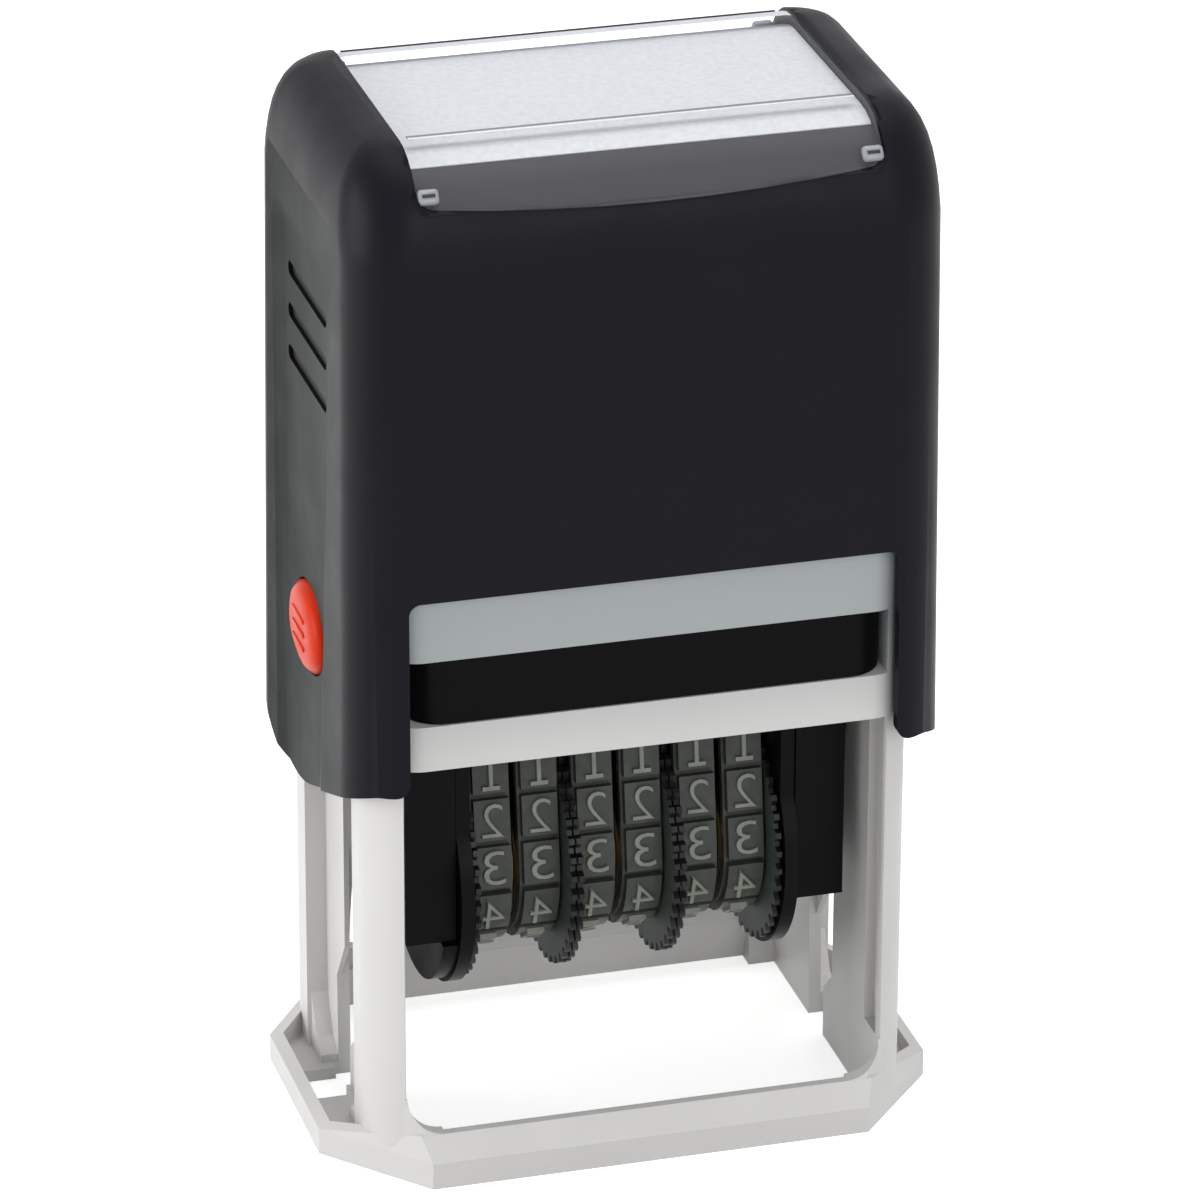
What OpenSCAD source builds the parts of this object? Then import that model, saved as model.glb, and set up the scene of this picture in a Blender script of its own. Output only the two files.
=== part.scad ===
// Self-inking numbering machine.
// A sprung cover pushes a turn-over carriage with six number bands down from the
// ink pad to the paper. Lugs on the carriage follow S-shaped cam grooves in the
// frame and turn it half a turn on the way.
// Origin: centre of the foot, on the paper. +X right, -Y front, +Z up, millimetres.

/* [Stamp format] */
// Width of the text plate, left to right
plate_w = 41; // [40:0.5:42]
// Depth of the text plate, front to back
plate_d = 24; // [22:0.5:25]
// Thickness of the text plate
plate_t = 2.2; // [1.8:0.1:2.6]
// Thickness of the rubber text die
die_t = 1.3; // [1:0.1:1.6]

/* [Stroke] */
// Travel of the cover from rest to the paper
stroke = 28; // [27:0.25:29]
// Height of the ink pad's inked face above the paper
pad_face_z = 46.9; // [46.4:0.1:47.6]
// Gap between the print face and the ink pad at rest
ink_gap = 0.8; // [0.7:0.1:1.2]
// Gap between the print face and the paper at full stroke
touch_gap = 0.1; // [0.05:0.05:0.3]

/* [Number bands] */
// Width of one rubber band
band_w = 3.9; // [3.6:0.1:4]
// Distance between the two bands of a pair
pair_pitch = 4.6; // [4.5:0.1:4.8]
// Distance between the nearest bands of two pairs
rim_pitch = 5.3; // [5.2:0.1:5.5]
// Thickness of the band without its number blocks
band_t = 0.9; // [0.7:0.1:1.1]
// Height of the number blocks on the band
block_t = 0.8; // [0.6:0.1:1]
// Number blocks round one band
block_count = 16; // [15:1:16]
// Length of a number block along the band
block_l = 4; // [3.6:0.1:4.1]
// Half of the flat on which the printing block lies
crown_half = 3.2; // [2.8:0.1:3.4]
// Radius of the band's inner side at the crown's corners
crown_r = 0.7; // [0.5:0.1:1]

/* [Number wheels] */
// Radius of the drum that carries the band
drum_r = 6.45; // [6.2:0.05:6.6]
// Radius of the milled thumb rim
rim_r = 11.4; // [11:0.1:11.6]
// Thickness of the thumb rim
rim_t = 0.5; // [0.4:0.05:0.55]
// Notches round the thumb rim
rim_notches = 40; // [32:1:48]
// Distance of the wheel axle below the carriage pivot
wheel_drop = 12.6; // [12.4:0.1:13]
// Radius of the steel wheel axle
wheel_axle_r = 1.45; // [1.2:0.05:1.6]

/* [Carriage] */
// Wall thickness of the carriage
carriage_wall = 1.3; // [1.1:0.1:1.5]
// Depth of the carriage's end boxes below the pivot
box_drop = 16.5; // [15.5:0.25:16.5]
// Depth of the end boxes, front to back
box_d = 20; // [19:0.25:20.5]
// How far the end boxes stand out past the text plate
box_out = 0.6; // [0.3:0.05:0.8]
// Thickness of the side cheeks
cheek_t = 1.3; // [1:0.1:1.4]
// Radius of the pivot pins
pivot_r = 1.9; // [1.7:0.1:2]
// Radius of the turning lugs
lug_r = 1.1; // [1:0.05:1.2]
// Distance of the turning lugs from the pivot
lug_arm = 4; // [3.8:0.1:4.2]

/* [Foot] */
// Ledge of the foot outside the legs
foot_ledge_x = 3.6; // [3.2:0.1:4]
// Ledge of the foot in front of the pad housing
foot_ledge_y = 1.45; // [1.3:0.05:1.6]
// Corner bevel of the foot, measured along X
foot_bevel_x = 8.5; // [7.5:0.25:9.5]
// Corner bevel of the foot, measured along Y
foot_bevel_y = 9.6; // [9:0.1:10]
// Height of the foot's outer lip
lip_h = 2.6; // [2.2:0.1:3]
// Wall thickness of the lip
lip_t = 1.2; // [1:0.1:1.4]
// Thickness of the foot's floor beside the legs
web_t = 1.2; // [1:0.1:1.4]
// Height of the foot's front and back bars
bar_h = 4.9; // [4.6:0.1:5.2]
// Wall thickness of the flared front and back bars
bar_t = 0.9; // [0.8:0.05:1.1]
// Radius between the legs and the bars
bar_fillet = 3.3; // [2.5:0.1:4]

/* [Frame] */
// Thickness of the frame's side walls
wall_t = 1.2; // [1.1:0.05:1.25]
// Thickness of the legs
leg_t = 3.2; // [3:0.05:3.25]
// Depth of each leg, front to back
leg_d = 8; // [7:0.25:8.5]
// Radius of the legs' outer upright edges
leg_edge_r = 5.5; // [5.3:0.1:5.8]
// How far the legs stand back from the pad housing
leg_step = 0.75; // [0.6:0.05:0.9]
// Room for the turning carriage in front of and behind the text plate
turn_room = 4.45; // [4.3:0.05:4.6]
// Thickness of the pad housing's front and back walls
housing_t = 1.5; // [1.3:0.1:1.6]
// Radius of the pad housing's upright edges
housing_r = 3.5; // [3:0.1:4]
// Height of the bar below the pad slot
sill_h = 4.4; // [4:0.1:4.8]
// Thickness of the floor above the pad slot
floor_t = 1.5; // [1.2:0.1:1.8]
// Height of the pad housing above that floor
housing_wall_h = 6; // [5.5:0.1:6.5]

/* [Ink pad] */
// Height of the pad cartridge
tray_h = 6.2; // [6:0.1:6.4]
// Wall thickness of the pad cartridge
tray_t = 1.5; // [1.2:0.1:1.8]
// Radius of the pad cartridge's upright edges
tray_r = 5.5; // [5:0.25:6]
// Length of the felt, front to back
felt_d = 31; // [27:0.5:32]

/* [Cover] */
// Room between the frame's top and the cover's top at full stroke
head_room = 12.3; // [11.8:0.1:13]
// Gap between the legs and the cover's side walls, at the posts' foot
cover_gap_x = 0.7; // [0.65:0.05:0.9]
// Gap between the pad housing and the cover's front wall, at the posts' foot
cover_gap_y = 0.55; // [0.5:0.05:0.7]
// Taper of the cover's left and right, per millimetre of height
taper_x = 0.01; // [0.006:0.001:0.011]
// Taper of the cover's front and back, per millimetre of height
taper_y = 0.008; // [0.004:0.001:0.009]
// Radius of the cover's upright corners
corner_r = 5.5; // [4.5:0.25:6]
// Height of the rounded shoulder
shoulder_h = 9.8; // [9.4:0.1:10.4]
// Squareness of the shoulder, seen from the front
shoulder_n = 2.6; // [2:0.1:3]
// Width of the flat top
top_w = 45.4; // [44.8:0.1:46]
// Depth of the flat top
top_d = 22.8; // [22:0.1:23.4]
// Thickness of the cover's side walls
side_t = 1.5; // [1.3:0.05:1.5]
// Thickness of the cover's front and back walls
front_t = 1.1; // [1:0.05:1.15]
// How far the cover's posts hang below the pad slot's bar
post_drop = 1.7; // [1:0.1:2.5]
// How far the openings in the cover's front and back end below the frame's top
cutout_drop = 1; // [0.6:0.1:1.6]
// Width of the openings in the cover's front and back
cutout_w = 46; // [45.4:0.1:46.4]
// Depth of the sunk side panels
panel_depth = 0.6; // [0.4:0.05:0.65]
// Distance of the sunk side panels below the cover's top
panel_drop = 11.6; // [11:0.1:12.5]
// How far the side skirts hang below the posts
skirt_drop = 8.1; // [7.5:0.1:8.5]

/* [Index window] */
// Thickness of the clear window
window_t = 1; // [0.8:0.05:1.1]
// Thickness of the index card
card_t = 0.25; // [0.2:0.05:0.35]
// Width of the window
window_w = 43; // [42:0.1:43.4]
// How far the window's front edge reaches below the cover's top
window_drop = 5.6; // [5:0.1:6]
// Curve of the window's front edge
window_sag = 1.2; // [0.8:0.1:1.6]
// Depth of the index card, front to back, before it is bent
card_d = 26.8; // [25:0.2:30]

/* [Lock buttons] */
// Length of the lock button, front to back
button_l = 11; // [10:0.25:12]
// Height of the lock button
button_h = 8.6; // [8:0.1:9.2]
// Travel of the lock button
button_travel = 0.9; // [0.7:0.05:0.9]
// Place of the lock buttons, front to back
button_y = 0; // [-0.2:0.05:0.2]
// Height of the lock buttons above the carriage pivot
button_rise = 12.4; // [11.5:0.1:13]
// How far the cover is down when it locks
lock_drop = 4.8; // [4:0.1:5.5]

/* [Spring] */
// Mean diameter of the return spring
spring_d = 13; // [12:0.5:15]
// Diameter of the spring wire
wire_d = 1.2; // [1:0.05:1.25]
// Turns of the spring
spring_turns = 8.5; // [7.5:0.5:8.5]

/* [Clearances] */
// Gap between the carriage's ends and the frame's walls
end_gap = 2.3; // [2.2:0.05:2.35]
// Running gap of pins in their holes
pin_gap = 0.05; // [0.03:0.01:0.08]
// Gap of pins and lugs in the frame's slots
slot_gap = 0.25; // [0.2:0.05:0.35]
// Gap round sliding pieces
slide_gap = 0.1; // [0.05:0.01:0.15]
// Gap between the bridge arms and the frame's walls
arm_gap = 0.15; // [0.1:0.01:0.2]
// Side gap between the turning rims and their neighbours
rim_gap = 0.1; // [0.08:0.01:0.12]

/* [Hidden] */
$fn = 48;
eps = 0.01;
past = 1;

// Turning geometry: print face up against the pad at rest, down on the paper at full stroke
print_z = pad_face_z - ink_gap;
pivot_z = (print_z + touch_gap + stroke) / 2;
reach = print_z - pivot_z;
wheel_z = pivot_z - wheel_drop;

// Frame across X and Y, from the carriage outwards
wall_in = plate_w / 2 + end_gap;
wall_out = wall_in + wall_t;
leg_out = wall_in + leg_t;
housing_out = wall_out + 0.6;
bay_half = plate_d / 2 + turn_room;
housing_front = bay_half + housing_t;
leg_front = housing_front - leg_step;
recess_half = leg_front - leg_d;
foot_w = 2 * (leg_out + foot_ledge_x);
foot_d = 2 * (housing_front + foot_ledge_y);

// Pad slot and the floor above it
tray_z = pad_face_z - 0.2;
tray_hx = wall_in - 0.3;
tray_hy = housing_front - 0.15;
slot_z0 = tray_z - slide_gap;
slot_z1 = tray_z + tray_h + slide_gap;
sill_z = slot_z0 - sill_h;
spring_seat = slot_z1 + floor_t;
frame_top = spring_seat + housing_wall_h;

// Cam groove and guide slot
cam_depth = 0.7;
pivot_low = pivot_z - stroke;

// Bridge arms run in the recesses outside the frame's walls
arm_in = wall_out + arm_gap;
arm_t = 0.85;
arm_out = arm_in + arm_t;
arm_half = 4.5;
arm_low = pivot_z - 3;

// Cover: heights, and half sizes by height
total_h = frame_top + stroke + head_room;
shoulder_z = total_h - shoulder_h;
post_z = sill_z - post_drop;
skirt_z = post_z - skirt_drop;
cutout_z = frame_top - cutout_drop;
panel_top = total_h - panel_drop;
roof_in = total_h - 3.4;
cover_w = 2 * (leg_out + cover_gap_x + side_t);
cover_d = 2 * (housing_front + cover_gap_y + front_t);
function cover_hx(z) = cover_w / 2 - taper_x * (z - post_z);
function cover_hy(z) = cover_d / 2 - taper_y * (z - post_z);
shoulder_steps = 9;

// Index window in its pocket
window_z = total_h - window_drop;
window_sink = 0.25;
card_in = window_sink + window_t + card_t;

// Lock buttons
button_z = pivot_z + button_rise;
button_face = cover_hx(button_z);
flange_in = arm_out + button_travel + 0.1;
plunger_r = 1.7;

// Bridge and spring inside the cover
bridge_half = top_w / 2 - side_t - 1.6;
bar_z = roof_in - 3;
spring_len = bar_z - spring_seat;
coil_steps = 20;
wire_sides = 8;

// Carriage
plate_z = print_z - die_t - plate_t;
deck_t = 1.8;
deck_z = plate_z - deck_t;
box_low = pivot_z - box_drop;
box_x = plate_w / 2 + box_out;

// Bands and wheels along X, from left to right; rims sit on the outer side of each pair
pair_step = pair_pitch + rim_pitch;
function band_x(i) = (floor(i / 2) - 1) * pair_step + (i % 2 == 0 ? -1 : 1) * pair_pitch / 2;
function rim_side(i) = i % 2 == 0 ? -1 : 1;
rim_edge = band_w / 2 + rim_gap + rim_t;
cheek_in = band_x(5) + rim_edge + 2 * rim_gap;
cheek_out = cheek_in + cheek_t;
cheek_r = rim_r + 0.4;
cheek_half = box_d / 2 - 0.2;
box_in = cheek_out + 0.1;
guard_t = 1.5;

// Band loop in the YZ plane, round the crown of the print bridge and the drum
band_clear = 0.15;
loop_q = drum_r + band_clear - crown_r;
crown_z = reach - block_t - band_t - crown_r;
crown_dist = norm([crown_half, crown_z + wheel_drop]);
loop_tilt = atan2(crown_z + wheel_drop, crown_half) - acos(loop_q / crown_dist);
loop_side = sqrt(crown_dist * crown_dist - loop_q * loop_q);
rad = PI / 180;

function arc(c, r, a0, a1, n) =
  [for (i = [0:n]) let (a = a0 + (a1 - a0) * i / n) [c[0] + r * cos(a), c[1] + r * sin(a)]];

// Outline of the loop at distance r outside the crown's corner centres
function loop_outline(r) = concat(
  arc([crown_half, crown_z], r, 90, loop_tilt, 6),
  arc([0, -wheel_drop], loop_q + r, loop_tilt, -180 - loop_tilt, 32),
  arc([-crown_half, crown_z], r, 180 - loop_tilt, 90, 6));

// Point on the loop at path length s from the crown's middle: [y, z, angle of the normal]
function loop_length(r) =
  2 * (crown_half + r * (90 - loop_tilt) * rad + loop_side + (loop_q + r) * (90 + loop_tilt) * rad);
function loop_point(s, r) =
  let (
    corner = r * (90 - loop_tilt) * rad,
    turn = s - crown_half - corner - loop_side,
    a = s < crown_half ? 90
      : s < crown_half + corner ? 90 - (s - crown_half) / (r * rad)
      : turn < 0 ? loop_tilt
      : loop_tilt - turn / ((loop_q + r) * rad),
    along = min(max(s - crown_half - corner, 0), loop_side)
  )
  s < crown_half ? [s, crown_z + r, a]
    : turn < 0 ? [crown_half + r * cos(a) + along * sin(loop_tilt),
                  crown_z + r * sin(a) - along * cos(loop_tilt), a]
    : [(loop_q + r) * cos(a), -wheel_drop + (loop_q + r) * sin(a), a];

// Path of the turning lug's centre while the cover goes down: [y, z]
function lug_at(a) = [-lug_arm * cos(a), pivot_z - stroke * a / 180 + lug_arm * sin(a)];
function lug_path(side, w, n) =
  [for (i = [0:n])
    let (a = 180 * i / n,
         v = [lug_arm * sin(a), -stroke / PI + lug_arm * cos(a)],
         u = v / norm(v))
    lug_at(a) + side * w * [-u[1], u[0]]];

// ---------------------------------------------------------------- helpers

// Extrude a YZ outline along X between x0 and x1
module along_x(x0, x1)
  translate([x0, 0, 0]) rotate([90, 0, 90]) linear_extrude(x1 - x0) children();

// Extrude an XZ outline along Y between y0 and y1
module along_y(y0, y1)
  translate([0, y1, 0]) rotate([90, 0, 0]) linear_extrude(y1 - y0) children();

module both_sides() {
  children();
  mirror([1, 0, 0]) children();
}

module front_and_back() {
  children();
  mirror([0, 1, 0]) children();
}

// Box from its lowest to its highest corner
module block(low, high)
  translate(low) cube(high - low);

// Thin rounded rectangle, a station of a lofted shell
module station(hx, hy, r, z)
  translate([0, 0, z]) linear_extrude(eps)
    offset(r = r, $fn = 32) square([2 * (hx - r), 2 * (hy - r)], center = true);

module cylinder_x(r, x0, x1)
  translate([x0, 0, 0]) rotate([0, 90, 0]) cylinder(r = r, h = x1 - x0);

module ellipse(a, b)
  polygon(arc([0, 0], 1, 0, 357.5, 48) * [[a, 0], [0, b]]);

// ---------------------------------------------------------------- frame

module foot_outline()
  polygon([
    for (p = [[1, -1, 0], [1, -1, 1], [1, 1, 1], [1, 1, 0], [-1, 1, 0], [-1, 1, 1], [-1, -1, 1], [-1, -1, 0]])
      p[2] == 0
        ? [p[0] * (foot_w / 2 - foot_bevel_x), p[1] * foot_d / 2]
        : [p[0] * foot_w / 2, p[1] * (foot_d / 2 - foot_bevel_y)]
  ]);

// Foot: low lip all round, bars in front and behind, sunk floor beside the legs
module foot()
  difference() {
    union() {
      linear_extrude(lip_h) foot_outline();
      hull() {
        translate([0, 0, lip_h - eps]) linear_extrude(eps) foot_outline();
        translate([0, 0, bar_h - eps]) linear_extrude(eps)
          square([2 * wall_in - 2, 2 * housing_front], center = true);
      }
    }
    both_sides()
      translate([0, 0, web_t]) linear_extrude(bar_h)
        intersection() {
          scale([1 - 2 * lip_t / foot_w, 1 - 2 * lip_t / foot_d]) foot_outline();
          translate([wall_out, -leg_front + 1]) square([foot_w, 2 * leg_front - 2]);
        }
    // flared inner faces of the front and back bars
    front_and_back()
      along_x(foot_bevel_x - foot_w / 2 + bar_t, foot_w / 2 - foot_bevel_x - bar_t)
        polygon([
          [0, -past], [foot_d / 2 - bar_t + past * bar_flare, -past],
          [housing_front - bar_t, bar_h], [housing_front - bar_t, bar_h + past], [0, bar_h + past]
        ]);
  }
bar_flare = foot_ledge_y / bar_h;

// Plan of one leg: outer corner well rounded, inner corner slightly
module leg_plan()
  difference() {
    translate([wall_in, recess_half]) square([leg_t, leg_d]);
    translate([leg_out, leg_front]) edge_cut(leg_edge_r);
    translate([wall_in, leg_front]) mirror([1, 0]) edge_cut(1.2);
  }

// Plan of the web that joins a leg to the front bar, up to the given front
module corner_plan(front)
  polygon([
    [wall_in - bar_fillet, leg_front - 1.3], [wall_in - bar_fillet, front], [wall_in - 1.5, front],
    [wall_in + 0.4, leg_front - 0.65], [wall_in + 0.4, leg_front - 1.3]
  ]);

// Plan of the pad housing
module housing_outline()
  offset(r = housing_r, $fn = 96)
    square([2 * (housing_out - housing_r), 2 * (housing_front - housing_r)], center = true);

// Corner piece left over outside a rounding
module edge_cut(r)
  difference() {
    translate([-r, -r]) square(r + past);
    translate([-r, -r]) circle(r, $fn = 96);
  }

// Front view of the opening between the legs
module leg_window() {
  difference() {
    translate([-wall_in, bar_h]) square([2 * wall_in, sill_z - bar_h]);
    for (s = [-1, 1])
      difference() {
        translate([s * (wall_in - bar_fillet / 2), bar_h + bar_fillet / 2])
          square(bar_fillet + eps, center = true);
        translate([s * (wall_in - bar_fillet), bar_h + bar_fillet]) circle(bar_fillet);
      }
  }
}

// Cam groove and guide slot, in the YZ plane
module cam_outline()
  union() {
    polygon(concat(lug_path(1, lug_r + slot_gap, 36),
      [for (i = [36:-1:0]) lug_path(-1, lug_r + slot_gap, 36)[i]]));
    for (a = [0, 180]) translate(lug_at(a)) circle(lug_r + slot_gap);
  }

module guide_slot_outline() {
  w = pivot_r + slot_gap;
  back = lug_arm + lug_r + slot_gap;
  translate([0, pivot_z]) circle(w);
  // the lower end bends to the back, where the cam ends, and is open below
  polygon([
    [-w, pivot_z], [-w, pivot_low - 1.5], [0.5, pivot_low - 3.9], [0.5, -past],
    [back - 0.3, -past], [back, pivot_low + 1.4], [w, pivot_low + 5.9], [w, pivot_z]
  ]);
}

module base_frame()
  color("gainsboro")
    difference() {
      union() {
        foot();
        both_sides() {
          block([wall_in, -recess_half - eps, 0], [wall_out, recess_half + eps, frame_top]);
          front_and_back() {
            linear_extrude(sill_z) leg_plan();
            // leg's foot spreads along the recess
            along_x(wall_in, leg_out - 0.4)
              polygon([
                [recess_half + eps, 0], [recess_half - 3.8, 0], [recess_half - 3.8, web_t + 0.8],
                [recess_half - 2, web_t + 2], [recess_half + eps, bar_h + 2]
              ]);
          }
        }
        // corners between the bars and the legs
        both_sides()
          front_and_back()
            hull() {
              translate([0, 0, bar_h - 1]) linear_extrude(1) corner_plan(housing_front - 0.05);
              translate([0, 0, bar_h + bar_fillet - eps])
                linear_extrude(eps) corner_plan(leg_front - 0.4);
            }
        // pad housing
        difference() {
          translate([0, 0, sill_z - eps]) linear_extrude(frame_top - sill_z + eps) housing_outline();
          both_sides()
            block([wall_out, -recess_half, sill_z - past], [foot_w, recess_half, frame_top + past]);
          block([-wall_in, -bay_half, spring_seat], [wall_in, bay_half, frame_top + past]);
        }
        // boss that centres the spring
        translate([0, 0, slot_z1]) cylinder(r = spring_d / 2 - wire_d, h = floor_t + 2.5);
      }
      // bay for the carriage, below the rails that carry the pad cartridge
      block([-wall_in, -bay_half, -past], [wall_in, bay_half, slot_z0 - 1.2]);
      block([-wall_in + 1, -bay_half, 0], [wall_in - 1, bay_half, slot_z1]);
      // pad slot through front and back
      block([-tray_hx - slide_gap, -housing_front - past, slot_z0],
        [tray_hx + slide_gap, housing_front + past, slot_z1]);
      along_y(-foot_d, foot_d) leg_window();
      both_sides() {
        // slot through the foot's floor
        block([wall_out + 0.4, -1.4, -past], [foot_w / 2 - lip_t - 0.3, 4.2, web_t + past]);
        along_x(wall_in - past, wall_in + cam_depth) cam_outline();
        along_x(wall_in - past, wall_out + past / 2) guide_slot_outline();
        // blind holes that the lock button's plunger enters, at rest and partly down
        for (drop = [0, lock_drop])
          translate([0, button_y, button_z - drop])
            cylinder_x(plunger_r + 0.25, wall_out - button_travel, wall_out + past);
        // channel behind the front and back edges of the legs
        front_and_back()
          block([wall_in - past, leg_front - 5.1, bar_h + bar_fillet],
            [wall_in + 1, leg_front - 1.6, sill_z - 1]);
      }
    }

// ---------------------------------------------------------------- ink pad

// Plan of the cartridge, drawn in by inset
module tray_outline(inset)
  offset(r = tray_r - inset, $fn = 96)
    square([2 * (tray_hx - tray_r), 2 * (tray_hy - tray_r)], center = true);

module ink_tray()
  color("#26252b")
    translate([0, 0, tray_z])
      difference() {
        linear_extrude(tray_h) tray_outline(0);
        translate([0, 0, -past]) linear_extrude(tray_h - tray_t + past) tray_outline(tray_t);
      }

module ink_felt()
  color("midnightblue")
    intersection() {
      linear_extrude(total_h) tray_outline(tray_t);
      block([-tray_hx, -felt_d / 2, pad_face_z],
        [tray_hx, felt_d / 2, tray_z + tray_h - tray_t]);
    }

// ---------------------------------------------------------------- cover

// Solid with the cover's outer shape, drawn in by inx and iny, up to the given top
module cover_solid(low, inx, iny, top) {
  half_x = cover_hx(shoulder_z) - top_w / 2;
  half_y = cover_hy(shoulder_z) - top_d / 2;
  hull() {
    station(cover_hx(low) - inx, cover_hy(low) - iny, corner_r - iny, low);
    for (k = [0:shoulder_steps])
      let (a = 90 * k / shoulder_steps, rise = sin(a))
        station(
          top_w / 2 - inx + half_x * pow(1 - pow(rise, shoulder_n) + 1e-9, 1 / shoulder_n),
          top_d / 2 - iny + half_y * cos(a),
          corner_r + 1.5 * sin(2 * a) - 3 * rise * rise - 0.6 * iny,
          shoulder_z + (top - shoulder_z) * rise - eps);
  }
}

// Side view of the cover: posts at the corners, a skirt between them that is
// lowest behind the middle
module side_outline() {
  translate([-cover_d, post_z]) square([2 * cover_d, total_h]);
  hull() {
    translate([6, post_z + 0.5])
      scale([cover_d / 2 - 7.1, post_z + 0.5 - skirt_z]) circle(1, $fn = 96);
    translate([-cover_d / 2 + 1.2, post_z + 1.2]) circle(1.2);
  }
}

module cutout_outline()
  hull() {
    translate([-cutout_w / 2, 0]) square([cutout_w, 10]);
    for (s = [-1, 1]) translate([s * (cutout_w / 2 - 1.1), cutout_z - 1.1]) circle(1.1);
  }

// Sunk side panel: wide at the top, narrower towards the skirt
module panel_outline()
  hull() {
    translate([-8, panel_top - 3.4]) circle(3);
    translate([0.3, panel_top - 3]) circle(3);
    translate([8.6, panel_top - 3.4]) circle(3);
    translate([-5.8, skirt_z - 7]) square([16, 1]);
  }

// Front view of the index window, its lower edge curved and its corners rounded
module window_front(gap) {
  half = window_w / 2;
  r = (half * half + window_sag * window_sag) / (2 * window_sag);
  offset(delta = -gap) offset(r = 1.6, $fn = 32) offset(delta = -1.6)
    intersection() {
      translate([-half, window_z]) square([2 * half, total_h]);
      translate([0, window_z + r]) circle(r, $fn = 240);
    }
}

// Bent sheet between two depths under the cover's upper surface
module window_sheet(d0, d1, gap)
  intersection() {
    difference() {
      cover_solid(shoulder_z - past, 0, d0, total_h - d0);
      cover_solid(shoulder_z - 2 * past, -past, d1, total_h - d1);
    }
    along_y(-cover_d, cover_d) window_front(gap);
  }

// Layer on the tapered side face, at a depth under it
module on_side(depth, thick)
  translate([cover_hx(0) - depth, 0, 0]) rotate([0, -atan(taper_x), 0])
    along_x(0, thick) children();

// Sunk side panel with a sloping border
module side_panel()
  hull() {
    on_side(panel_depth, eps) offset(delta = -2.6) panel_outline();
    on_side(-0.5, 1) offset(r = 2.1) panel_outline();
  }

module cover()
  color("#2b2a31")
    difference() {
      intersection() {
        cover_solid(skirt_z - past, 0, 0, total_h);
        along_x(-foot_w, foot_w) side_outline();
      }
      cover_solid(skirt_z - 2 * past, side_t, front_t, roof_in);
      along_y(-cover_d, cover_d) cutout_outline();
      window_sheet(-past, window_sink + window_t, 0);
      card_sheet(window_sink, card_in, 0);
      both_sides() {
        side_panel();
        // three finger grooves
        for (k = [0:2])
          on_side(panel_depth + 0.4, 4)
            hull()
              for (y = [-6, 7]) translate([y, panel_top - 7 - 4.1 * k]) circle(0.7, $fn = 24);
        // rounded inner corner at the foot of each front post
        along_y(-cover_d, -cover_d / 2 + 4.6)
          translate([cutout_w / 2, post_z]) mirror([1, 0]) mirror([0, 1]) edge_cut(1.4);
        // opening for the lock button
        along_x(cover_w / 2 - 4, cover_w / 2 + 2)
          translate([button_y, button_z])
            ellipse(button_l / 2 + slide_gap, button_h / 2 + slide_gap);
      }
    }

// The card lies under the window's flat top and the first part of its shoulders
module card_sheet(d0, d1, gap)
  intersection() {
    window_sheet(d0, d1, gap);
    block([-cover_w, -card_d / 2 + gap, 0], [cover_w, card_d / 2 - gap, 2 * total_h]);
  }

module index_card()
  color("ghostwhite") card_sheet(window_sink + window_t, card_in, slide_gap);

module index_window()
  color("lightsteelblue", 0.5) window_sheet(window_sink, window_sink + window_t, slide_gap);

// ---------------------------------------------------------------- bridge and spring

module bridge_outline()
  difference() {
    polygon([
      [-arm_out, arm_low], [-arm_out, shoulder_z + 0.5], [-bridge_half, roof_in],
      [bridge_half, roof_in], [arm_out, shoulder_z + 0.5], [arm_out, arm_low]
    ]);
    polygon([
      [-arm_in, arm_low - past], [-arm_in, shoulder_z - 0.4], [-bridge_half + 0.6, bar_z],
      [bridge_half - 0.6, bar_z], [arm_in, shoulder_z - 0.4], [arm_in, arm_low - past]
    ]);
  }

module bridge_yoke()
  color("dimgray")
    difference() {
      union() {
        along_y(-arm_half, arm_half) bridge_outline();
        // seat and spigot for the spring
        translate([0, 0, bar_z]) cylinder(r = spring_d / 2 + wire_d + 0.5, h = roof_in - bar_z);
        translate([0, 0, bar_z - 2.5]) cylinder(r = spring_d / 2 - wire_d, h = 3);
      }
      both_sides() {
        translate([0, 0, pivot_z]) cylinder_x(pivot_r + pin_gap, arm_in - past, arm_out + past);
        translate([0, button_y, button_z])
          cylinder_x(plunger_r + slide_gap, arm_in - past, arm_out + past);
      }
    }

function coil_rise(t) =
  let (rise = spring_len - wire_d, n = spring_turns)
  t < 1 ? wire_d * t
    : t > n - 1 ? rise - wire_d * (n - t)
    : wire_d + (rise - 2 * wire_d) * (t - 1) / (n - 2);

module return_spring() {
  n = round(spring_turns * coil_steps);
  m = wire_sides;
  points = [
    for (i = [0:n], j = [0:m - 1])
      let (
        t = i / coil_steps,
        a = 360 * j / m,
        r = spring_d / 2 + wire_d / 2 * cos(a)
      )
      [r * cos(360 * t), r * sin(360 * t), spring_seat + wire_d / 2 * (1 + sin(a)) + coil_rise(t)]
  ];
  color("silver")
    polyhedron(
      points,
      concat(
        [[for (j = [0:m - 1]) j]],
        [for (i = [0:n - 1], j = [0:m - 1])
          [i * m + j, (i + 1) * m + j, (i + 1) * m + (j + 1) % m, i * m + (j + 1) % m]],
        [[for (j = [m - 1:-1:0]) n * m + j]]),
      convexity = 12);
}

// ---------------------------------------------------------------- lock buttons

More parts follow.
